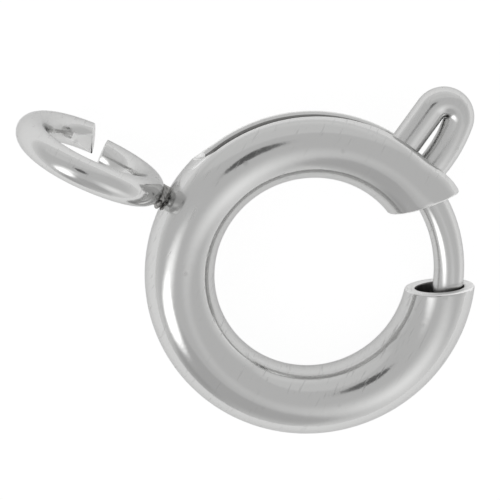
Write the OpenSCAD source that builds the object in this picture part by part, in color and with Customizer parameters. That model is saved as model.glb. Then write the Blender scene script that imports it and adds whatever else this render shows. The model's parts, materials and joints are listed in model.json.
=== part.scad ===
// Spring ring clasp: a slotted ring tube with a soldered wire loop, a sprung wire bolt
// bent up into a trigger, and the coil spring that keeps the bolt shut.
// The clasp lies on its side: the rims of the loop and of the ring touch the surface at Z = 0.
// Angles are counted anticlockwise round the ring, from the side away from the loop.

/* [Ring case] */
// Outside diameter of the ring
ring_d = 6.0; // [5.8:0.1:7.0]
// Outside diameter of the tube that the ring is bent from
tube_d = 1.25; // [1.20:0.01:1.40]
// Wall thickness of the tube
tube_wall = 0.19; // [0.15:0.01:0.21]

/* [Opening of the ring] */
// Place of the catch end, which the bolt shuts into
catch_end_angle = 21.4; // [15:0.1:26]
// Place of the slotted end, which the bolt comes out of
slot_end_angle = 61.4; // [58:0.1:64]
// Lean of the catch end's cut from the ring's radius
catch_cut_lean = 11; // [0:1:15]
// Lean of the slotted end's cut from the ring's radius
slot_cut_lean = 13.8; // [0:0.1:16]

/* [Slot] */
// Place of the slot's closed end, where its round starts
slot_close_angle = 156.5; // [152:0.5:164]
// Side clearance between the slot and the bolt's wire
slot_clearance = 0.035; // [0.02:0.005:0.05]

/* [Bolt and trigger] */
// Thickness of the bolt's wire
bolt_wire_d = 0.55; // [0.48:0.01:0.57]
// Clearance between the bolt and the outer wall of the bore
bolt_clearance = 0.02; // [0.015:0.005:0.05]
// Length of the bolt inside the catch end
bolt_catch_depth = 0.22; // [0.15:0.01:0.4]
// Chamfer round the bolt's tip
bolt_tip_chamfer = 0.1; // [0.05:0.01:0.15]
// Place of the straight leg of the trigger
trigger_angle = 83; // [80:0.5:88]
// Height of the trigger above the tube
trigger_height = 1.19; // [0.95:0.01:1.4]
// Space between the trigger's legs inside its top bend
trigger_top_gap = 0.01; // [0.006:0.002:0.05]
// Spread of the bowed leg from the straight leg at the top bend
trigger_leg_spread = 17; // [10:1:20]
// Radius of the bowed leg along its middle line
trigger_bow_r = 2.4; // [2.0:0.1:3.0]
// Radius of the bends where the legs turn into the tube, along the middle line
foot_bend_r = 0.4; // [0.32:0.01:0.5]
// Length of the bolt's tail behind the trigger's straight leg
bolt_tail_length = 0.85; // [0.6:0.05:1.0]

/* [Spring] */
// Thickness of the spring's wire
spring_wire_d = 0.12; // [0.08:0.01:0.13]
// Coils of the spring
spring_coils = 18; // [12:1:18]
// Clearance between the spring and the bore
spring_clearance = 0.03; // [0.02:0.005:0.05]
// Clearance at each end of the spring
spring_end_gap = 0.02; // [0.01:0.005:0.05]
// Place of the solid stop in the tube that the spring stands on
stop_angle = 205; // [200:1:225]
// Thickness of the stop along the tube
stop_length = 0.5; // [0.3:0.05:0.8]

/* [Loop] */
// Thickness of the loop's wire
loop_wire_d = 0.53; // [0.45:0.01:0.6]
// Inside diameter of the loop
loop_hole_d = 1.77; // [1.6:0.01:2.2]
// Width of the cut between the loop's ends
loop_cut = 0.12; // [0.05:0.01:0.2]
// Sideways offset between the loop's ends
loop_offset = 0.18; // [0.02:0.01:0.22]
// Place of the cut round the loop, from the point farthest from the ring
loop_cut_angle = -99.7; // [-110:0.1:-70]
// Turn of the loop about the ring's axis
loop_turn = 4; // [0:1:8]
// Lean of the loop from the ring's axis
loop_lean = 5; // [0:1:8]
// Space between the loop's wire and the tube, which the solder bridges
solder_gap = 0.06; // [0.02:0.01:0.08]
// Thickness of the solder between the loop and the tube
solder_d = 0.32; // [0.2:0.01:0.4]

/* [Hidden] */
$fn = 48;

// Ring tube: radius of its middle line, and its bore
ring_r = (ring_d - tube_d) / 2;
bore_d = tube_d - 2 * tube_wall;
opening_middle = (catch_end_angle + slot_end_angle) / 2;
stop_far_angle = stop_angle + degrees_along(stop_length, ring_r);

// Slot, wide enough for the wire of the trigger's legs
slot_w = bolt_wire_d + 2 * slot_clearance;

// Bolt: it slides along the outer wall of the bore
bolt_r = ring_r + bore_d / 2 - bolt_wire_d / 2 - bolt_clearance;
bolt_tip_angle = catch_end_angle - degrees_along(bolt_catch_depth - bolt_tip_chamfer, bolt_r);

// Trigger, in a flat frame of its own: the ring's centre is its origin, the straight leg
// runs out along Y, and X points towards the opening of the ring
flat_turn = trigger_angle - 90;
top_bend_r = (bolt_wire_d + trigger_top_gap) / 2;
top_bend_centre = [top_bend_r, ring_d / 2 + trigger_height - top_bend_r - bolt_wire_d / 2];
bow_centre = top_bend_centre + (top_bend_r - trigger_bow_r) * toward(trigger_leg_spread);
front_foot = meeting_point([0, 0], bolt_r + foot_bend_r, bow_centre, trigger_bow_r + foot_bend_r);
front_foot_angle = angle_of(front_foot);
bow_end_angle = angle_of(front_foot - bow_centre);
back_foot = [-foot_bend_r, sqrt(pow(bolt_r + foot_bend_r, 2) - pow(foot_bend_r, 2))];
back_foot_angle = angle_of(back_foot);
tail_end_angle = trigger_angle + degrees_along(bolt_tail_length, bolt_r);
wire_sides = 24;

// Spring: a coil in the bore, between the bolt's tail and the stop
coil_r = (bore_d - spring_wire_d) / 2 - spring_clearance;
coil_end_room = degrees_along(spring_end_gap + spring_wire_d / 2, ring_r - coil_r);
coil_start_angle = tail_end_angle + coil_end_room;
coil_finish_angle = stop_angle - coil_end_room;
coil_steps = 12;
coil_sides = 6;

// Loop: radius of its middle line, its distance from the ring's centre and its opened halves
loop_r = (loop_hole_d + loop_wire_d) / 2;
loop_distance = ring_d / 2 + solder_gap + loop_wire_d / 2 + loop_r;
loop_half_span = 180 - degrees_along(loop_cut, loop_r) / 2;
loop_half_tilt = asin(loop_offset / (4 * loop_r));

// Rest on a flat surface: the loop hangs lower than the ring, so the clasp leans on both rims
loop_drop = loop_r * cos(loop_lean) + (loop_wire_d - tube_d) / 2;
rest_tilt = asin(loop_drop / (ring_r + loop_distance));
rest_lift = tube_d / 2 + ring_r * sin(rest_tilt);
reach_front = ring_r * cos(rest_tilt) + tube_d / 2;
reach_back = loop_distance * cos(rest_tilt) + loop_r + loop_wire_d / 2;
top_bend_left = top_bend_centre.y * sin(trigger_angle) - top_bend_centre.x * cos(trigger_angle);
reach_left = top_bend_left + top_bend_r + bolt_wire_d / 2;
reach_right = ring_d / 2;

function toward(angle) = [cos(angle), sin(angle)];
function angle_of(point) = atan2(point.y, point.x);
function degrees_along(length, radius) = length / radius * 180 / PI;

// Point at distance r1 from p1 and r2 from p2, to the right of the way from p1 to p2
function meeting_point(p1, r1, p2, r2) =
    let (
        gap = norm(p2 - p1),
        way = (p2 - p1) / gap,
        along = (r1 * r1 - r2 * r2 + gap * gap) / (2 * gap),
        across = sqrt(r1 * r1 - along * along)
    )
    p1 + along * way + across * [way.y, -way.x];

// Stations along a bend of the bolt's wire: the middle point, its side direction and the wire's radius
function bend_stations(centre, radius, start, finish, steps) =
    let (side = finish > start ? 180 : 0)
    [
        for (i = [0:steps])
            let (angle = start + (finish - start) * i / steps)
            [centre + radius * toward(angle), toward(angle + side), bolt_wire_d / 2]
    ];

// Middle line of the spring, round the bore, at a share of its length
function coil_point(share) =
    let (
        ring_angle = coil_start_angle + (coil_finish_angle - coil_start_angle) * share,
        coil_angle = 360 * spring_coils * share,
        radius = ring_r + coil_r * cos(coil_angle)
    )
    [radius * cos(ring_angle), radius * sin(ring_angle), coil_r * sin(coil_angle)];

// Direction from the bore's middle line to the spring's wire
function coil_outward(share) =
    let (
        ring_angle = coil_start_angle + (coil_finish_angle - coil_start_angle) * share,
        coil_angle = 360 * spring_coils * share
    )
    [cos(coil_angle) * cos(ring_angle), cos(coil_angle) * sin(ring_angle), sin(coil_angle)];

// Part of a round wire bent to a radius, from one angle to another
module wire_arc(centre, radius, start, finish, wire_d) {
    translate([centre.x, centre.y, 0])
        rotate([0, 0, start])
            rotate_extrude(angle = finish - start)
                translate([radius, 0])
                    circle(d = wire_d);
}

// Stretch of the tube's bore
module bore_arc(start, finish) {
    wire_arc([0, 0], ring_r, start, finish, bore_d);
}

// Solid wire through a list of rings of points, each with the same number of sides
module swept_wire(rings, sides) {
    last = len(rings) - 1;
    walls = [
        for (i = [0:last - 1])
            for (k = [0:sides - 1])
                let (next = (k + 1) % sides)
                [i * sides + k, (i + 1) * sides + k, (i + 1) * sides + next, i * sides + next]
    ];
    start_cap = [for (k = [0:sides - 1]) k];
    finish_cap = [for (k = [0:sides - 1]) (last + 1) * sides - 1 - k];
    polyhedron(
        points = [for (ring = rings) each ring],
        faces = concat([start_cap], walls, [finish_cap]),
        convexity = 10
    );
}

// Wedge that cuts the ring open, with both cuts leaning from the radius
module opening_wedge() {
    reach = 0.9 * tube_d;
    catch_point = ring_r * toward(catch_end_angle);
    slot_point = ring_r * toward(slot_end_angle);
    catch_way = toward(catch_end_angle + catch_cut_lean);
    slot_way = toward(slot_end_angle - slot_cut_lean);
    linear_extrude(height = 2 * tube_d, center = true)
        polygon([
            catch_point - reach * catch_way,
            catch_point + reach * catch_way,
            (ring_d / 2 + tube_d) * toward(opening_middle),
            slot_point + reach * slot_way,
            slot_point - reach * slot_way
        ]);
}

// Slot in the outer side of the tube, with a round closed end
module slot_cut() {
    rotate([0, 0, opening_middle])
        rotate_extrude(angle = slot_close_angle - opening_middle)
            translate([ring_r, -slot_w / 2])
                square([tube_d, slot_w]);
    rotate([0, 90, slot_close_angle])
        translate([0, 0, ring_r])
            cylinder(d = slot_w, h = tube_d);
}

// The two halves of the loop, each turned a little out of its plane as a ring opened sideways
module loop_half(side) {
    rotate([0, 0, loop_cut_angle + 180])
        translate([loop_r, 0, 0])
            rotate([0, side * loop_half_tilt, 0])
                translate([-loop_r, 0, 0])
                    wire_arc([0, 0], loop_r, 0, -side * loop_half_span, loop_wire_d);
}

module loop() {
    translate([-loop_distance, 0, 0])
        rotate([loop_lean, 0, loop_turn])
            rotate([90, 0, 180]) {
                loop_half(1);
                loop_half(-1);
            }
}

// Solder between the tube's outer wall and the loop's wire
module solder() {
    rotate([0, 0, 180])
        translate([ring_d / 2 - tube_wall / 2, 0, 0])
            rotate([0, 90, 0])
                cylinder(d = solder_d, h = tube_wall / 2 + solder_gap + loop_wire_d / 2);
}

// Lays the clasp on its rims, with the origin under the middle of its outline
module at_rest() {
    translate([(reach_back - reach_front) / 2, (reach_right - reach_left) / 2, rest_lift])
        rotate([0, rest_tilt, 0])
            children();
}

module ring_case() {
    color("silver")
        at_rest() {
            difference() {
                rotate_extrude()
                    translate([ring_r, 0])
                        circle(d = tube_d);
                opening_wedge();
                bore_arc(slot_end_angle - slot_cut_lean, stop_angle);
                bore_arc(stop_far_angle, 360 + catch_end_angle + catch_cut_lean);
                slot_cut();
            }
            loop();
            solder();
        }
}

// The wire of the bolt from its tail, up and down the trigger, to its chamfered tip
module bolt() {
    tip_start = bolt_tip_angle - flat_turn;
    tip_end = tip_start - degrees_along(bolt_tip_chamfer, bolt_r);
    stations = concat(
        bend_stations([0, 0], bolt_r, tail_end_angle - flat_turn, back_foot_angle, 6),
        bend_stations(back_foot, foot_bend_r, back_foot_angle - 180, 0, 8),
        bend_stations(top_bend_centre, top_bend_r, 180, trigger_leg_spread, 16),
        bend_stations(bow_centre, trigger_bow_r, trigger_leg_spread, bow_end_angle, 5),
        bend_stations(front_foot, foot_bend_r, bow_end_angle + 180, front_foot_angle + 180, 8),
        bend_stations([0, 0], bolt_r, front_foot_angle, tip_start, 22),
        [[bolt_r * toward(tip_end), toward(tip_end), bolt_wire_d / 2 - bolt_tip_chamfer]]
    );
    rings = [
        for (station = stations)
            [
                for (k = [0:wire_sides - 1])
                    let (
                        angle = 360 * k / wire_sides,
                        middle = station[0] + station[2] * cos(angle) * station[1]
                    )
                    [middle.x, middle.y, station[2] * sin(angle)]
            ]
    ];
    color("gainsboro")
        at_rest()
            rotate([0, 0, flat_turn])
                swept_wire(rings, wire_sides);
}

module spring() {
    last = spring_coils * coil_steps;
    rings = [
        for (i = [0:last])
            let (
                share = i / last,
                outward = coil_outward(share),
                ahead = coil_point(share + 0.5 / last) - coil_point(share - 0.5 / last),
                sideways = cross(ahead / norm(ahead), outward)
            )
            [
                for (k = [0:coil_sides - 1])
                    let (angle = 360 * k / coil_sides)
                    coil_point(share) + spring_wire_d / 2 * (cos(angle) * outward + sin(angle) * sideways)
            ]
    ];
    color("darkgray")
        at_rest()
            swept_wire(rings, coil_sides);
}

ring_case();
bolt();
spring();
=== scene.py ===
import json
from math import asin, atan2, cos, degrees, pi, radians, sin, sqrt

import bmesh
import bpy
from mathutils import Matrix, Vector
from mathutils.geometry import intersect_sphere_sphere_2d

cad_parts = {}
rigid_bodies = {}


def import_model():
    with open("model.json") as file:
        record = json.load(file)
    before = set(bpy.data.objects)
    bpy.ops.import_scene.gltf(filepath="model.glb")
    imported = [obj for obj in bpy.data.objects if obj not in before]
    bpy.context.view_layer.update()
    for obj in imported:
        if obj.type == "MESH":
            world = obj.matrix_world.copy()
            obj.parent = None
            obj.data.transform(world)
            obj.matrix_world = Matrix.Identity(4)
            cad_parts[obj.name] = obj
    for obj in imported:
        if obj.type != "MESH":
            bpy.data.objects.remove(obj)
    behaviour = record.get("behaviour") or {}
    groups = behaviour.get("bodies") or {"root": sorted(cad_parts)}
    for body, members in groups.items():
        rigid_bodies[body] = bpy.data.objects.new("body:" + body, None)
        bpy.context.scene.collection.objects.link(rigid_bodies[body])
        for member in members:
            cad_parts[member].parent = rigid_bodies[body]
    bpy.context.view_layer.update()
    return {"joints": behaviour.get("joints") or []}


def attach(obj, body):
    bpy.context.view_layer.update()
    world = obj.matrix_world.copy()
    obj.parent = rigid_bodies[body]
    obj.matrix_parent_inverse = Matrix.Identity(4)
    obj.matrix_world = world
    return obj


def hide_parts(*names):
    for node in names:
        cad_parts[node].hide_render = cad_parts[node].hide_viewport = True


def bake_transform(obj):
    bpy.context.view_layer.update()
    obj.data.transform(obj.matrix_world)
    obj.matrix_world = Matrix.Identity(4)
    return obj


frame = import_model()

# Ring tube
# A strip of stainless steel, rolled into a tube with a slot left open along it, and bent into a ring.
# The slot has a round closed end and both sawn ends lean. Tumbling has rounded every edge and polished
# the outside, and the inside is as it was rolled. The inside's darker steel is partly painted shade of the
# dark bore. The sawn ends are a lighter cut steel, partly painted highlight, and the same steel along the
# slot's rim is a painted highlight.
travel = frame["joints"][0]
ring_lean = atan2(travel["axis"][0], travel["axis"][2])
ring_place = Matrix.Translation(travel["pos_m"]) @ Matrix.Rotation(ring_lean, 4, "Y")
ring_r = 0.002375
tube_r = 0.000625
tube_wall = 0.00019
catch_end = radians(21.4)
catch_lean = radians(11)
slot_end = radians(61.4)
slot_lean = radians(13.8)
slot_close = radians(156.5)
slot_close_room = radians(18)
strip_start = radians(53)
strip_finish = radians(389)
strip_middle = (strip_start + strip_finish) / 2
strip_rows = 96
slot_rows = 16
strip_w = 2 * pi * tube_r
row_step = strip_w / strip_rows
slot_half = slot_rows / 2 * row_step
slot_rim_round = 0.00006
inner_rim_round = 0.0001
polish_depth = 0.00009
highlight_start = 0.000005
highlight_depth = 0.00003
end_rim_round = 0.00004
end_reach = 2 * tube_r
end_join = 0.000008
lip_turn = slot_half / tube_r
lip_round = 0.0002
lip_reach = 2.2 * lip_round
lip_cut_turns = (22, 45, 68)
lip_flare = 0.00012
lip_flare_reach = 0.0007
rim_rows = 2
column_step = radians(1.5)
sharp_turn = 1
smooth_turn = radians(40)
close_point = 1e-6
fine_point = 1e-8


def choose(kind, test):
    """Selects the vertices, edges or faces of the edited mesh that pass a test, and nothing else."""
    bpy.ops.mesh.select_all(action="DESELECT")
    bpy.ops.mesh.select_mode(type=kind)
    mesh = bmesh.from_edit_mesh(bpy.context.object.data)
    for part in {"VERT": mesh.verts, "EDGE": mesh.edges, "FACE": mesh.faces}[kind]:
        if test(part):
            part.select_set(True)
    mesh.select_flush_mode()
    bmesh.update_edit_mesh(bpy.context.object.data)


def middle(part):
    """Middle point of an edge or a face."""
    return sum((v.co for v in part.verts), Vector()) / len(part.verts)


def near(a, b, reach=close_point):
    """True for two numbers that are closer together than the reach."""
    return abs(a - b) < reach


def toward(angle):
    """Direction at an angle in the plane of the ring."""
    return Vector((cos(angle), sin(angle), 0))


def begin(name):
    """Names a new primitive, puts its place in its mesh and opens it for editing, with all of it selected."""
    bpy.context.object.name = name
    bpy.ops.object.transform_apply(location=True, rotation=True, scale=True)
    bpy.ops.object.mode_set(mode="EDIT")
    bpy.ops.mesh.select_mode(type="VERT")
    bpy.ops.mesh.select_all(action="SELECT")
    return bpy.context.object


def modify(piece, kind, **settings):
    """Gives the piece a modifier with these settings, and applies it."""
    modifier = piece.modifiers.new(kind.title(), kind)
    for name, value in settings.items():
        setattr(modifier, name, value)
    bpy.context.view_layer.objects.active = piece
    bpy.ops.object.modifier_apply(modifier=modifier.name)


def put_in_place(piece, place):
    """Moves a piece from its own frame to its place on the clasp, and leaves its object at the origin."""
    bpy.ops.object.select_all(action="DESELECT")
    piece.select_set(True)
    bpy.context.view_layer.objects.active = piece
    piece.matrix_world = place
    bpy.ops.object.transform_apply(location=True, rotation=True, scale=True)


def on_strip(angle):
    """Place along the flat strip of an angle round the ring."""
    return ring_r * (angle - strip_middle)


def is_long(edge):
    """True for the edges that run along the whole of a stretch of the flat strip."""
    return abs(edge.verts[0].co.x - edge.verts[1].co.x) > slot_half / 2


def is_sharp(edge):
    """True for the edges where two faces meet at a corner."""
    return len(edge.link_faces) == 2 and edge.calc_face_angle() > sharp_turn


def round_over(size, even):
    """Rounds the rim of the selected end faces, by three insets that follow a quarter of a circle."""
    for low, high in ((0, 30), (30, 60), (60, 90)):
        bpy.ops.mesh.inset(
            thickness=size * (cos(radians(low)) - cos(radians(high))),
            depth=size * (sin(radians(high)) - sin(radians(low))),
            use_even_offset=even,
        )


# The flat strip has three stretches: to where the slot's round end starts, past it, and on to the catch end
start_x, close_x, past_x, finish_x = (
    on_strip(angle) for angle in (strip_start, slot_close, slot_close + slot_close_room, strip_finish)
)
bpy.ops.object.select_all(action="DESELECT")
bpy.ops.mesh.primitive_grid_add(
    x_subdivisions=1, y_subdivisions=strip_rows, size=strip_w, rotation=(pi / 2, 0, 0)
)
tube = begin("ring_tube")
bpy.ops.transform.resize(value=((close_x - start_x) / strip_w, 1, 1))
bpy.ops.transform.translate(value=((start_x + close_x) / 2, 0, 0))
for before, after in ((close_x, past_x), (past_x, finish_x)):
    choose("EDGE", lambda e: near(middle(e).x, before))
    bpy.ops.mesh.extrude_region_move(TRANSFORM_OT_translate={"value": (after - before, 0, 0)})

# The slot's opening, and its round end, narrowed because the bend will stretch the tube's outer side
choose("FACE", lambda f: middle(f).x < past_x and abs(middle(f).z) < slot_half)
bpy.ops.mesh.delete(type="FACE")
bpy.ops.mesh.select_all(action="DESELECT")
bpy.ops.mesh.primitive_circle_add(
    vertices=2 * slot_rows, radius=slot_half, location=(close_x, 0, 0), rotation=(pi / 2, 0, 0)
)
bpy.ops.transform.resize(value=(ring_r / (ring_r + tube_r), 1, 1), center_override=(close_x, 0, 0))
choose("VERT", lambda v: not v.link_faces and v.co.x < close_x - close_point)
bpy.ops.mesh.delete(type="VERT")
choose("EDGE", lambda e: not e.link_faces or (near(middle(e).x, past_x) and abs(middle(e).z) < slot_half))
bpy.ops.mesh.bridge_edge_loops()
bpy.ops.mesh.select_all(action="SELECT")
bpy.ops.mesh.remove_doubles(threshold=close_point)
# Two rows beside each rim of the slot make room for its rounding
choose("EDGE", lambda e: is_long(e) and 0.5 < abs(middle(e).z) / row_step - slot_rows / 2 < rim_rows + 0.5)
bpy.ops.mesh.dissolve_edges(use_verts=True)
bpy.ops.object.mode_set(mode="OBJECT")
modify(tube, "SOLIDIFY", thickness=tube_wall, offset=-1)

bpy.ops.object.mode_set(mode="EDIT")
choose(
    "FACE",
    lambda f: near(abs(middle(f).z), strip_w / 2)
    or near(middle(f).x, start_x)
    or near(middle(f).x, finish_x),
)
bpy.ops.mesh.delete(type="FACE")
for depth, size, segments in ((0, slot_rim_round, 6), (tube_wall, inner_rim_round, 4)):
    choose("EDGE", lambda e: near(middle(e).y, depth) and is_sharp(e))
    bpy.ops.mesh.bevel(offset=size, segments=segments, affect="EDGES", clamp_overlap=False)
for low, high in ((start_x, close_x), (close_x, past_x), (past_x, finish_x)):
    choose("EDGE", lambda e: is_long(e) and low < middle(e).x < high)
    bpy.ops.mesh.subdivide(number_cuts=round((high - low) / (ring_r * column_step)) - 1)
bpy.ops.object.mode_set(mode="OBJECT")
modify(tube, "SIMPLE_DEFORM", deform_method="BEND", deform_axis="X", angle=2 * pi)
bpy.ops.object.mode_set(mode="EDIT")
bpy.ops.mesh.select_all(action="SELECT")
bpy.ops.mesh.remove_doubles(threshold=close_point)
bpy.ops.transform.translate(value=(0, -tube_r, 0))
bpy.ops.object.mode_set(mode="OBJECT")
modify(tube, "SIMPLE_DEFORM", deform_method="BEND", deform_axis="Z", angle=strip_finish - strip_start)
put_in_place(tube, Matrix.Rotation(strip_middle + pi / 2, 4, "Z") @ Matrix.Translation((0, -ring_r, 0)))

# The two sawn ends, with the saw's cut taken back by the rounding of their edges. Where the slot runs out,
# the corners of its lips are filed round.
out_way = toward(slot_end - slot_lean)
lip_distance = ring_r + tube_r * cos(lip_turn)
lip_corners = [
    ring_r * toward(slot_end)
    + (sqrt(lip_distance**2 - (ring_r * sin(slot_lean)) ** 2) - ring_r * cos(slot_lean)) * out_way
    + Vector((0, 0, lip * tube_r * sin(lip_turn)))
    for lip in (1, -1)
]
bpy.ops.object.mode_set(mode="EDIT")
for end, lean, side in ((slot_end, -slot_lean, 1), (catch_end, catch_lean, -1)):
    end_centre = ring_r * toward(end)
    end_way = -side * toward(end + lean + pi / 2)
    choose("FACE", lambda f: (middle(f) - end_centre).length < end_reach)
    bpy.ops.mesh.bisect(
        plane_co=end_centre - end_rim_round * end_way,
        plane_no=end_way,
        clear_outer=True,
        threshold=fine_point,
    )
    for corner in lip_corners if end == slot_end else ():
        slot_way = sin(lip_turn) * out_way - Vector((0, 0, cos(lip_turn) * (1 if corner.z > 0 else -1)))
        for turn in lip_cut_turns:
            cut_way = cos(radians(turn)) * end_way + sin(radians(turn)) * slot_way
            choose("FACE", lambda f: (middle(f) - corner).length < lip_reach)
            bpy.ops.mesh.bisect(
                plane_co=corner + lip_round * (cut_way - end_way - slot_way),
                plane_no=cut_way,
                clear_outer=True,
                threshold=fine_point,
            )
    choose("EDGE", lambda e: e.is_boundary and (middle(e) - end_centre).length < end_reach)
    bpy.ops.mesh.remove_doubles(threshold=end_join)
    choose("EDGE", lambda e: e.is_boundary and (middle(e) - end_centre).length < end_reach)
    bpy.ops.mesh.fill(use_beauty=True)
    round_over(end_rim_round, False)


def put_node(tree, kind, inputs=(), **settings):
    """Adds a node to a node tree with its settings, and links its inputs or gives them values."""
    node = tree.nodes.new(kind)
    for name, value in settings.items():
        setattr(node, name, value)
    for name, value in dict(inputs).items():
        if isinstance(value, bpy.types.NodeSocket):
            tree.links.new(value, node.inputs[name])
        else:
            node.inputs[name].default_value = value
    return node


def start_group(name, inputs):
    """Starts a node group with these number inputs and one output, Amount."""
    group = bpy.data.node_groups.new(name, "ShaderNodeTree")
    for label, value in inputs.items():
        socket = group.interface.new_socket(label, in_out="INPUT", socket_type="NodeSocketFloat")
        socket.default_value = value
    group.interface.new_socket("Amount", in_out="OUTPUT", socket_type="NodeSocketFloat")
    return group, put_node(group, "NodeGroupInput").outputs, put_node(group, "ShaderNodeTexCoord").outputs


# Hairline scratches: thin sheets of noise that cut the surface, left out where they lie along it
hairlines, given, coordinates = start_group("hairlines", {"Fineness": 1300, "Rarity": 0.66})
total = 0.0
for turn in ((0.3, 0.5, 0.2), (1.1, -0.4, 1.3), (-0.7, 0.9, 2.2), (0.4, -1.2, 2.9)):
    turned = put_node(
        hairlines,
        "ShaderNodeMapping",
        {"Vector": coordinates["Object"], "Rotation": turn, "Scale": (10, 1, 1)},
    )
    turned_normal = put_node(
        hairlines,
        "ShaderNodeMapping",
        {"Vector": coordinates["Normal"], "Rotation": turn},
        vector_type="NORMAL",
    )
    across = put_node(hairlines, "ShaderNodeSeparateXYZ", {"Vector": turned_normal.outputs[0]})
    lying = put_node(hairlines, "ShaderNodeMath", {0: across.outputs["X"]}, operation="ABSOLUTE")
    standing = put_node(
        hairlines, "ShaderNodeMapRange", {"Value": lying.outputs[0], "From Min": 0.75, "From Max": 0.45}
    )
    noise = put_node(
        hairlines,
        "ShaderNodeTexNoise",
        {"Vector": turned.outputs[0], "Scale": given["Fineness"], "Detail": 1.5},
    )
    above = put_node(
        hairlines, "ShaderNodeMath", {0: noise.outputs[0], 1: given["Rarity"]}, operation="SUBTRACT"
    )
    line = put_node(hairlines, "ShaderNodeMapRange", {"Value": above.outputs[0], "From Max": 0.07})
    kept = put_node(
        hairlines,
        "ShaderNodeMath",
        {0: line.outputs[0], 1: standing.outputs[0], 2: total},
        operation="MULTIPLY_ADD",
        use_clamp=True,
    )
    total = kept.outputs[0]
put_node(hairlines, "NodeGroupOutput", {"Amount": total})

# Uneven skin: the slow swell and fine ripple that tumbling leaves on a polished surface
uneven, given, coordinates = start_group("uneven_skin", {"Fineness": 1500, "Ripple": 0.25})
swell = put_node(
    uneven, "ShaderNodeTexNoise", {"Vector": coordinates["Object"], "Scale": given["Fineness"], "Detail": 0.5}
)
finer = put_node(uneven, "ShaderNodeMath", {0: given["Fineness"], 1: 5.3}, operation="MULTIPLY")
ripple = put_node(
    uneven, "ShaderNodeTexNoise", {"Vector": coordinates["Object"], "Scale": finer.outputs[0], "Detail": 2.0}
)
joined = put_node(
    uneven,
    "ShaderNodeMath",
    {0: ripple.outputs[0], 1: given["Ripple"], 2: swell.outputs[0]},
    operation="MULTIPLY_ADD",
)
put_node(uneven, "NodeGroupOutput", {"Amount": joined.outputs[0]})

# Pits: small round dents, in a few of the cells of a cell pattern
pits, given, coordinates = start_group("pits", {"Fineness": 5000, "Share": 0.06})
cells = put_node(pits, "ShaderNodeTexVoronoi", {"Vector": coordinates["Object"], "Scale": given["Fineness"]})
chance = put_node(pits, "ShaderNodeSeparateColor", {"Color": cells.outputs["Color"]})
chosen = put_node(pits, "ShaderNodeMath", {0: chance.outputs[0], 1: given["Share"]}, operation="LESS_THAN")
dent = put_node(
    pits, "ShaderNodeMapRange", {"Value": cells.outputs["Distance"], "From Min": 0.32, "From Max": 0.12}
)
kept = put_node(pits, "ShaderNodeMath", {0: chosen.outputs[0], 1: dent.outputs[0]}, operation="MULTIPLY")
put_node(pits, "NodeGroupOutput", {"Amount": kept.outputs[0]})


def steel(name, shade, roughness, scratch_fineness, swell_depth, pit_share, scratch_depth=0.0000003):
    """Bare steel of a shade, with scratches, an uneven skin and pits in its shine and its relief."""
    material = bpy.data.materials.new(name)
    material.use_nodes = True
    tree = material.node_tree
    shader = tree.nodes["Principled BSDF"]
    shader.inputs["Metallic"].default_value = 1
    shader.inputs["Specular Tint"].default_value = (0.75, 0.75, 0.75, 1)
    scratch = put_node(tree, "ShaderNodeGroup", node_tree=hairlines)
    scratch.inputs["Fineness"].default_value = scratch_fineness
    skin = put_node(tree, "ShaderNodeGroup", node_tree=uneven)
    pit = put_node(tree, "ShaderNodeGroup", node_tree=pits)
    pit.inputs["Share"].default_value = pit_share
    worn = put_node(tree, "ShaderNodeMath", {0: scratch.outputs[0], 1: pit.outputs[0]}, operation="MAXIMUM")
    tint = put_node(
        tree,
        "ShaderNodeMix",
        {"Factor": worn.outputs[0], "A": (*shade, 1), "B": (*(0.9 * c for c in shade), 1)},
        data_type="RGBA",
    )
    tree.links.new(tint.outputs["Result"], shader.inputs["Base Color"])
    dulled = put_node(
        tree,
        "ShaderNodeMapRange",
        {
            "Value": skin.outputs[0],
            "From Min": 0.3,
            "From Max": 0.9,
            "To Min": 0.7 * roughness,
            "To Max": 1.4 * roughness,
        },
    )
    rougher = put_node(
        tree, "ShaderNodeMath", {0: worn.outputs[0], 1: 0.15, 2: dulled.outputs[0]}, operation="MULTIPLY_ADD"
    )
    tree.links.new(rougher.outputs[0], shader.inputs["Roughness"])
    swollen = put_node(tree, "ShaderNodeBump", {"Height": skin.outputs[0], "Distance": swell_depth})
    scratched = put_node(
        tree,
        "ShaderNodeBump",
        {"Height": worn.outputs[0], "Distance": scratch_depth, "Normal": swollen.outputs[0]},
        invert=True,
    )
    tree.links.new(scratched.outputs[0], shader.inputs["Normal"])
    return material


tumbled = steel(
    "tumbled_strip",
    shade=(0.62, 0.62, 0.615),
    roughness=0.12,
    scratch_fineness=2600,
    swell_depth=0.000004,
    pit_share=0.05,
)
# The inside's rolled steel is rougher, and its darker shade is partly painted shade of the dark bore
rolled = steel(
    "rolled_strip_inside_painted_shade",
    shade=(0.28, 0.277, 0.273),
    roughness=0.45,
    scratch_fineness=2200,
    swell_depth=0.000006,
    pit_share=0.2,
)
# The cut steel is lighter than the polished steel: on the sawn ends and nipped cuts partly painted highlight,
# along the slot's rim a painted highlight
cut = steel(
    "cut_steel_painted_highlight",
    shade=(0.9, 0.9, 0.895),
    roughness=0.4,
    scratch_fineness=2500,
    swell_depth=0.000002,
    pit_share=0.02,
    scratch_depth=0.000001,
)
for finish in (tumbled, rolled, cut):
    tube.data.materials.append(finish)


def heading(point):
    """Angle of a point round the ring's centre."""
    return atan2(point.y, point.x)


def tube_depth(face):
    """How deep a face lies under the tube's outer side, or no depth at all for the sawn ends."""
    angle = heading(middle(face))
    depth = tube_r - (middle(face) - ring_r * toward(angle)).length
    return depth if abs(face.normal.dot(toward(angle + pi / 2))) < 0.5 else 0


def is_inside(face):
    """True for the faces that the tumbling hasn't reached, which get the darker steel, partly painted shade
    of the bore.
    """
    return tube_depth(face) > polish_depth


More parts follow.
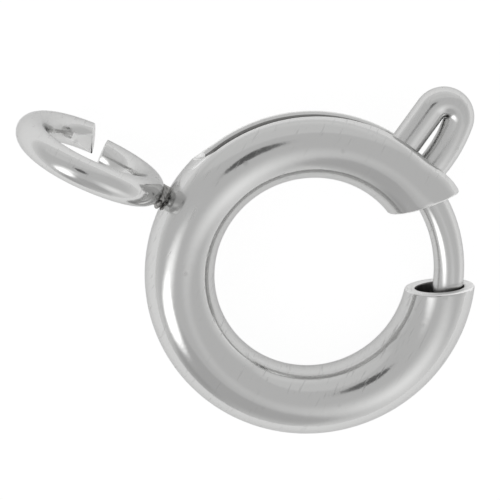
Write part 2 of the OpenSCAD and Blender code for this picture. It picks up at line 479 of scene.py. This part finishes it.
def is_bright(face):
    """True for the sawn ends, and for the slot's rim, which get the lighter cut steel: along the rim it is a
    painted highlight.
    """
    past_close = heading(middle(face)) - slot_close > slot_half / ring_r
    return tube_depth(face) == 0 or (highlight_start < tube_depth(face) < highlight_depth and not past_close)


# The sawn ends and the slot's rim get the lighter cut steel, which along the rim is a painted highlight
for finish_number, test in ((1, is_inside), (2, is_bright)):
    choose("FACE", test)
    tube.active_material_index = finish_number
    bpy.ops.object.material_slot_assign()

# Where the slot runs out, its lips are bent outwards a little
choose("VERT", lambda v: min((v.co - corner).length for corner in lip_corners) < lip_round)
bpy.ops.transform.translate(
    value=lip_flare * out_way,
    use_proportional_edit=True,
    proportional_edit_falloff="SMOOTH",
    proportional_size=lip_flare_reach,
)
bpy.ops.object.mode_set(mode="OBJECT")
bpy.ops.object.shade_smooth_by_angle(angle=smooth_turn)
put_in_place(tube, ring_place)
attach(tube, "case")
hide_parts("ring_case")

# Spring's stop
# A short plug of the same steel with its edges broken. It is pushed into the tube before that is bent, and
# crimped there for the spring to stand on.
stop_start = radians(205)
stop_length = 0.0005
bore_r = tube_r - tube_wall
stop_edge = 0.00003
stop_steps = 6
round_sides = 48
bpy.ops.object.select_all(action="DESELECT")
bpy.ops.mesh.primitive_circle_add(
    vertices=round_sides,
    radius=bore_r,
    fill_type="NGON",
    location=ring_r * toward(stop_start),
    rotation=(pi / 2, 0, stop_start),
)
stop = begin("spring_stop")
bpy.ops.mesh.spin(steps=stop_steps, angle=-stop_length / ring_r, center=(0, 0, 0), axis=(0, 0, 1))
bpy.ops.mesh.select_all(action="SELECT")
bpy.ops.mesh.normals_make_consistent(inside=False)
choose("EDGE", is_sharp)
bpy.ops.mesh.bevel(offset=stop_edge, segments=3, affect="EDGES")
bpy.ops.object.mode_set(mode="OBJECT")
bpy.ops.object.shade_smooth_by_angle(angle=smooth_turn)
# The stop has the darker inside steel, partly painted shade in the bore
stop.data.materials.append(rolled)
put_in_place(stop, ring_place)
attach(stop, "case")

# Chain loop
# A ring of round steel wire, nipped through and opened a little sideways, so that its ends miss each other.
# The nippers have left one end slanting, with a flat on its inner side, and the other nearly square.
loop_wire_r = 0.000265
loop_r = 0.00115
solder_gap = 0.00006
loop_distance = ring_r + tube_r + solder_gap + loop_wire_r + loop_r
loop_turn = radians(4)
loop_lean = radians(5)
loop_cut_angle = radians(-99.7)
loop_cut = 0.00012
loop_offset = 0.00018
half_tilt = asin(loop_offset / (4 * loop_r))
half_span = pi - loop_cut / loop_r / 2
loop_steps = 90
loop_smooth_turn = radians(12)
nip_room = radians(3)
nip_rings = 10
nip_edge = 0.00001
nip_rise = 0.000003
nip_corners = 8
# Each cut of the nippers: the side of the loop's end, how far behind that end and how far inside the wire's
# middle it passes, and the way it faces: along the wire, towards the loop's middle and up
nips = (
    (1, 0.000136, 0, (cos(radians(19)), 0, sin(radians(19)))),
    (1, 0.000127, 0.0002, (0.521, 0.841, -0.143)),
    (-1, 0, 0, (cos(radians(10)), sin(radians(10)), 0)),
)
inward = Vector((1, 0, 0))
upward = Vector((0, 0, 1))
loop_place = (
    ring_place
    @ Matrix.Translation((-loop_distance, 0, 0))
    @ Matrix.Rotation(loop_turn, 4, "Z")
    @ Matrix.Rotation(loop_lean, 4, "X")
    @ Matrix.Rotation(pi, 4, "Z")
    @ Matrix.Rotation(pi / 2, 4, "X")
    @ Matrix.Rotation(loop_cut_angle + pi, 4, "Z")
)


def is_new_cut(face):
    """True for a cut through the wire that hasn't its own finish yet."""
    return len(face.verts) > nip_corners and face.material_index == 0


bpy.ops.object.select_all(action="DESELECT")
bpy.ops.mesh.primitive_circle_add(
    vertices=round_sides, radius=loop_wire_r, location=(loop_r, 0, 0), rotation=(pi / 2, 0, 0)
)
loop = begin("chain_loop_wire")
drawn = steel(
    "loop_wire",
    shade=(0.63, 0.63, 0.625),
    roughness=0.13,
    scratch_fineness=3000,
    swell_depth=0.000004,
    pit_share=0.08,
)
for finish in (drawn, cut):
    loop.data.materials.append(finish)
for side in (1, -1):
    turned_centre = Vector((loop_r - loop_r * cos(half_tilt), 0, side * loop_r * sin(half_tilt)))
    turned_axis = Vector((side * sin(half_tilt), 0, cos(half_tilt)))
    whole_turn = Matrix.Rotation(-side * half_span, 3, turned_axis)
    wire_end = turned_centre + whole_turn @ (Vector((loop_r, 0, 0)) - turned_centre)
    wire_way = whole_turn @ Vector((0, -side, 0))
    choose("VERT", lambda v: near(v.co.y, 0, fine_point) and v.co.x > 0)
    bpy.ops.mesh.spin(
        steps=loop_steps, angle=side * (half_span + nip_room), center=turned_centre, axis=turned_axis
    )
    for nip_side, behind, inside, (along, in_part, up_part) in nips:
        if nip_side == side:
            for _ in range(nip_rings):
                bpy.ops.mesh.select_more()
            bpy.ops.mesh.bisect(
                plane_co=wire_end - behind * wire_way + inside * inward,
                plane_no=along * wire_way + in_part * inward + up_part * upward,
                clear_outer=True,
                threshold=fine_point,
            )
            choose("EDGE", lambda e: e.is_boundary and middle(e).x < 0)
            bpy.ops.mesh.edge_face_add()
            choose("FACE", is_new_cut)
    bpy.ops.mesh.select_all(action="SELECT")
    bpy.ops.mesh.normals_make_consistent(inside=False)
    # The nipped cuts get the lighter cut steel, partly painted highlight
    choose("FACE", is_new_cut)
    loop.active_material_index = 1
    bpy.ops.object.material_slot_assign()
    for _ in range(2):
        bpy.ops.mesh.inset(
            thickness=nip_edge, depth=nip_rise, use_individual=True, use_even_offset=False
        )
bpy.ops.object.mode_set(mode="OBJECT")
bpy.ops.object.shade_smooth_by_angle(angle=loop_smooth_turn)
put_in_place(loop, loop_place)
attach(loop, "case")

# Solder
# A drop of hard solder that joins the loop's wire to the tube. It has run into the crevice between them, and
# has frozen in small lumps at its lower end.
solder_half_w = 0.0002
solder_reach = 0.00004
solder_height = 0.45
solder_shape = ((0, 1.1), (0.15, 1.05), (0.35, 1.0), (0.6, 1.0), (0.85, 1.05), (1, 1.1))
solder_lumps = (
    (-0.85, 0.5, 0.00005),
    (-1.05, 0.15, 0.000045),
    (-0.6, 0.7, 0.00004),
    (-0.95, 0.65, 0.00003),
)
solder_sides = 28
solder_ripple = 0.00001
solder_start = ring_r + tube_r - solder_reach
solder_length = solder_gap + 3 * solder_reach
voxel = 0.009
blow_up = 1000
bpy.ops.object.select_all(action="DESELECT")
bpy.ops.mesh.primitive_circle_add(
    vertices=solder_sides,
    radius=solder_half_w * solder_shape[0][1],
    location=(-solder_start, 0, 0),
    rotation=(0, pi / 2, 0),
)
solder = begin("solder_bead")
for (before, narrow), (after, wide) in zip(solder_shape, solder_shape[1:]):
    bpy.ops.mesh.extrude_region_move(
        TRANSFORM_OT_translate={"value": ((before - after) * solder_length, 0, 0)}
    )
    ring_middle = (-solder_start - after * solder_length, 0, 0)
    bpy.ops.transform.resize(value=(1, wide / narrow, wide / narrow), center_override=ring_middle)
bpy.ops.mesh.select_all(action="SELECT")
bpy.ops.mesh.fill_holes(sides=0)
bpy.ops.mesh.select_all(action="SELECT")
bpy.ops.transform.resize(value=(1, 1, solder_height), center_override=(0, 0, 0))
bpy.ops.mesh.normals_make_consistent(inside=False)
bpy.ops.transform.vertex_random(offset=solder_ripple, uniform=0.5, normal=0.5, seed=4)
for across, up, size in solder_lumps:
    bpy.ops.mesh.select_all(action="DESELECT")
    bpy.ops.mesh.primitive_ico_sphere_add(
        subdivisions=3,
        radius=size,
        location=(-solder_start - solder_length / 2, across * solder_half_w, up * solder_half_w),
    )
# The voxels can't be as small as this drop needs, so it is fused into one skin at a thousand times its size
bpy.ops.mesh.select_all(action="SELECT")
bpy.ops.transform.resize(value=(blow_up, blow_up, blow_up), center_override=(0, 0, 0))
bpy.ops.object.mode_set(mode="OBJECT")
modify(solder, "REMESH", mode="VOXEL", voxel_size=voxel)
modify(solder, "SMOOTH", factor=0.6, iterations=8)
bpy.ops.object.mode_set(mode="EDIT")
bpy.ops.mesh.select_all(action="SELECT")
bpy.ops.transform.resize(value=(1 / blow_up, 1 / blow_up, 1 / blow_up), center_override=(0, 0, 0))
bpy.ops.object.mode_set(mode="OBJECT")
bpy.ops.object.shade_smooth()
frozen = steel(
    "solder",
    shade=(0.36, 0.355, 0.345),
    roughness=0.26,
    scratch_fineness=5000,
    swell_depth=0.000012,
    pit_share=0.3,
    scratch_depth=0.000002,
)
solder.data.materials.append(frozen)
put_in_place(solder, ring_place)
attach(solder, "case")

# Bolt
# One piece of round steel wire: a tail in the tube, the trigger that is bent double through the slot, and
# the curved front that crosses the opening, chamfered where it enters the catch end. It slides in the bore.
bolt_wire_r = 0.000275
bolt_clearance = 0.00002
bolt_r = ring_r + bore_r - bolt_wire_r - bolt_clearance
bolt_catch_depth = 0.00022
bolt_tip_chamfer = 0.0001
bolt_tail_length = 0.00085
bolt_tail_edge = 0.00003
bolt_tail_dome = 0.00001
bend_step = 2
trigger_turn = radians(83) - pi / 2
trigger_height = 0.00119
trigger_top_gap = 0.00001
trigger_spread = radians(17)
bow_r = 0.0024
foot_r = 0.0004
top_bend_r = bolt_wire_r + trigger_top_gap / 2
top_bend = Vector((top_bend_r, ring_r + tube_r + trigger_height - top_bend_r - bolt_wire_r, 0))
bow = top_bend + (top_bend_r - bow_r) * toward(trigger_spread)
back_foot = Vector((-foot_r, sqrt((bolt_r + foot_r) ** 2 - foot_r**2), 0))
foot_places = intersect_sphere_sphere_2d((0, 0), bolt_r + foot_r, bow.xy, bow_r + foot_r)
front_foot = max(foot_places, key=lambda place: place.x).to_3d()
tail_end = pi / 2 + bolt_tail_length / bolt_r
bow_end = heading(front_foot - bow)
tip = catch_end - trigger_turn - (bolt_catch_depth - bolt_tip_chamfer) / bolt_r
bends = (
    (Vector(), tail_end, heading(back_foot)),
    (back_foot, heading(back_foot) - pi, 0),
    (top_bend, pi, trigger_spread),
    (bow, trigger_spread, bow_end),
    (front_foot, bow_end + pi, heading(front_foot) + pi),
    (Vector(), heading(front_foot), tip),
)
bpy.ops.object.select_all(action="DESELECT")
bpy.ops.mesh.primitive_circle_add(
    vertices=round_sides,
    radius=bolt_wire_r,
    location=bolt_r * toward(tail_end),
    rotation=(pi / 2, 0, tail_end),
)
bolt = begin("bolt_wire")
for centre, start, finish in bends:
    if centre == top_bend:
        bpy.ops.mesh.extrude_region_move(TRANSFORM_OT_translate={"value": (0, top_bend.y - back_foot.y, 0)})
    steps = max(4, round(abs(degrees(finish - start)) / bend_step))
    bpy.ops.mesh.spin(steps=steps, angle=start - finish, center=centre, axis=(0, 0, 1))
bpy.ops.mesh.edge_face_add()
round_over(bolt_tip_chamfer, True)
choose("EDGE", lambda e: e.is_boundary)
bpy.ops.mesh.edge_face_add()
bpy.ops.mesh.inset(thickness=bolt_tail_edge, depth=bolt_tail_dome)
bpy.ops.mesh.select_all(action="SELECT")
bpy.ops.mesh.normals_make_consistent(inside=False)
bpy.ops.object.mode_set(mode="OBJECT")
bpy.ops.object.shade_smooth_by_angle(angle=smooth_turn)
bent = steel(
    "bolt_wire",
    shade=(0.63, 0.63, 0.625),
    roughness=0.18,
    scratch_fineness=3200,
    swell_depth=0.0000025,
    pit_share=0.05,
)
bolt.data.materials.append(bent)
put_in_place(bolt, ring_place @ Matrix.Rotation(trigger_turn, 4, "Z"))
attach(bolt, "bolt")
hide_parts("bolt")

# Coil spring
# Fine spring wire wound into a long open coil. It lies in the tube between the bolt's tail and the stop.
# On the clasp it is pressed together when the trigger is drawn back; here it is shaped at rest only.
spring_wire_r = 0.00006
spring_coils = 18
spring_sides = 14
coil_steps = 36
spring_clearance = 0.00003
spring_end_gap = 0.00002
coil_r = bore_r - spring_wire_r - spring_clearance
coil_room = (spring_end_gap + spring_wire_r) / (ring_r - coil_r)
coil_start = trigger_turn + tail_end + coil_room
coil_finish = stop_start - coil_room
coil_length = ring_r * (coil_finish - coil_start)
bpy.ops.object.select_all(action="DESELECT")
bpy.ops.mesh.primitive_circle_add(
    vertices=spring_sides, radius=spring_wire_r, location=(-coil_length / 2, -coil_r, 0)
)
spring = begin("coil_spring")
bpy.ops.object.mode_set(mode="OBJECT")
modify(
    spring,
    "SCREW",
    axis="X",
    angle=-2 * pi,
    screw_offset=coil_length / spring_coils,
    iterations=spring_coils,
    steps=coil_steps,
    render_steps=coil_steps,
)
bpy.ops.object.mode_set(mode="EDIT")
for side in (-1, 1):
    choose("EDGE", lambda e: e.is_boundary and middle(e).x * side > 0)
    bpy.ops.mesh.edge_face_add()
bpy.ops.mesh.select_all(action="SELECT")
bpy.ops.mesh.normals_make_consistent(inside=False)
bpy.ops.object.mode_set(mode="OBJECT")
modify(
    spring,
    "SIMPLE_DEFORM",
    deform_method="BEND",
    deform_axis="Z",
    angle=(coil_length + 2 * spring_wire_r) / ring_r,
)
coil_middle = (coil_start + coil_finish) / 2
put_in_place(
    spring, ring_place @ Matrix.Rotation(coil_middle + pi / 2, 4, "Z") @ Matrix.Translation((0, -ring_r, 0))
)
bpy.ops.object.shade_smooth_by_angle(angle=smooth_turn)
wound = steel(
    "spring_wire",
    shade=(0.58, 0.58, 0.575),
    roughness=0.16,
    scratch_fineness=4000,
    swell_depth=0.000001,
    pit_share=0.05,
)
spring.data.materials.append(wound)
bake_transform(spring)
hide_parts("spring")

# Studio
# The clasp lies on white card in a light tent with soft boxes behind its cloth. The tent is open where the
# lens looks in, and the polished steel shows the lens as a dark round.
scene = bpy.context.scene
scene.view_settings.view_transform = "Standard"
card_r = 0.3
view_tilt = radians(14.094)
view_tilt_axis = radians(24.746)
view_side = Vector((-0.0011032, 0.0004103, 0))
view_distance = 0.035995
picture_turn = radians(28.1)
picture_place = ring_place @ Matrix.Rotation(picture_turn, 4, "Z")
view_place = (
    picture_place
    @ Matrix.Rotation(-view_tilt, 4, toward(view_tilt_axis))
    @ Matrix.Translation(view_side + Vector((0, 0, view_distance)))
)
bpy.ops.object.camera_add()
camera = bpy.context.object
camera.matrix_world = view_place
camera.data.sensor_width = 36
camera.data.lens = 144
camera.data.clip_start = 0.001
camera.data.clip_end = 10
scene.camera = camera

bpy.ops.object.select_all(action="DESELECT")
bpy.ops.mesh.primitive_circle_add(vertices=96, radius=card_r, fill_type="NGON")
floor = bpy.context.object
floor.name = "white_card"
card = bpy.data.materials.new("white_card")
card.use_nodes = True
card_shader = card.node_tree.nodes["Principled BSDF"]
card_shader.inputs["Roughness"].default_value = 1
card_shader.inputs["Specular IOR Level"].default_value = 0
card_shader.inputs["Emission Color"].default_value = (1, 1, 1, 1)
looked_at = put_node(card.node_tree, "ShaderNodeLightPath").outputs["Is Camera Ray"]
# The card's glow and shade, first as the steel mirrors them and then as the camera sees them
for socket, mirrored, pictured in (("Emission Strength", 0.36, 0.93), ("Base Color", 0.85, 0.12)):
    amount = put_node(
        card.node_tree, "ShaderNodeMapRange", {"Value": looked_at, "To Min": mirrored, "To Max": pictured}
    )
    card.node_tree.links.new(amount.outputs[0], card_shader.inputs[socket])
floor.data.materials.append(card)

lens_radius = 0.0057
lens_lean = radians(23)
lens_azimuth = radians(115)
lens_distance = 0.037
bpy.ops.object.select_all(action="DESELECT")
bpy.ops.mesh.primitive_circle_add(vertices=48, radius=lens_radius, fill_type="NGON")
lens = bpy.context.object
lens.name = "lens_round"
lens.matrix_world = (
    picture_place
    @ Matrix.Rotation(lens_azimuth, 4, "Z")
    @ Matrix.Rotation(lens_lean, 4, "Y")
    @ Matrix.Translation((0, 0, lens_distance))
)
black = bpy.data.materials.new("lens_black")
black.use_nodes = True
black_shader = black.node_tree.nodes["Principled BSDF"]
black_shader.inputs["Base Color"].default_value = (0.12, 0.12, 0.12, 1)
black_shader.inputs["Roughness"].default_value = 0.9
lens.data.materials.append(black)

# The tent's cloth is an even grey that lightens towards the card, with brighter and darker places.
# Each is given by its direction round and away from the ring's axis, its half width and half length in
# degrees, how much light it adds, and how soft its edge is.
cloth_top = 0.45
cloth_grey = 0.68
cloth_low_grey = 0.86
tent = bpy.data.worlds.new("light_tent")
scene.world = tent
tent.use_nodes = True
tree = tent.node_tree
ray = put_node(tree, "ShaderNodeTexCoord").outputs["Generated"]
height = put_node(tree, "ShaderNodeSeparateXYZ", {"Vector": ray}).outputs["Z"]
cloth = put_node(
    tree,
    "ShaderNodeMapRange",
    {
        "Value": height,
        "From Min": cloth_top,
        "From Max": 0.0,
        "To Min": cloth_grey,
        "To Max": cloth_low_grey,
    },
    interpolation_type="SMOOTHSTEP",
)
light = cloth.outputs[0]
for azimuth, lean, half_w, half_l, glow, softness in (
    (212, 54, 13, 16, 1.3, 0.3),
    (195, 38, 8, 14, 0.75, 0.8),
    (-53, 48, 12, 22, 0.45, 0.9),
    (250, 62, 30, 32, -0.12, 0.07),
    (92, 62, 45, 20, 0.1, 0.08),
    (236, 86, 16, 16, -0.16, 0.5),
):
    place = (
        picture_place.to_3x3()
        @ Matrix.Rotation(radians(azimuth), 3, "Z")
        @ Matrix.Rotation(radians(lean), 3, "Y")
    )
    seen = put_node(
        tree,
        "ShaderNodeMapping",
        {
            "Vector": ray,
            "Rotation": place.to_euler(),
            "Scale": (sin(radians(half_l)), sin(radians(half_w)), 1000),
        },
        vector_type="TEXTURE",
    )
    from_middle = put_node(tree, "ShaderNodeVectorMath", {0: seen.outputs[0]}, operation="LENGTH")
    inside = put_node(
        tree,
        "ShaderNodeMapRange",
        {
            "Value": from_middle.outputs["Value"],
            "From Min": 1 + softness,
            "From Max": 1 - softness,
            "To Max": glow,
        },
        interpolation_type="SMOOTHSTEP",
    )
    facing = put_node(
        tree, "ShaderNodeVectorMath", {0: ray, 1: place @ Vector((0, 0, 1))}, operation="DOT_PRODUCT"
    )
    ahead = put_node(tree, "ShaderNodeMath", {0: facing.outputs["Value"], 1: 0.0}, operation="GREATER_THAN")
    added = put_node(
        tree,
        "ShaderNodeMath",
        {0: inside.outputs[0], 1: ahead.outputs[0], 2: light},
        operation="MULTIPLY_ADD",
    )
    light = added.outputs[0]
tree.links.new(light, tree.nodes["Background"].inputs["Color"])
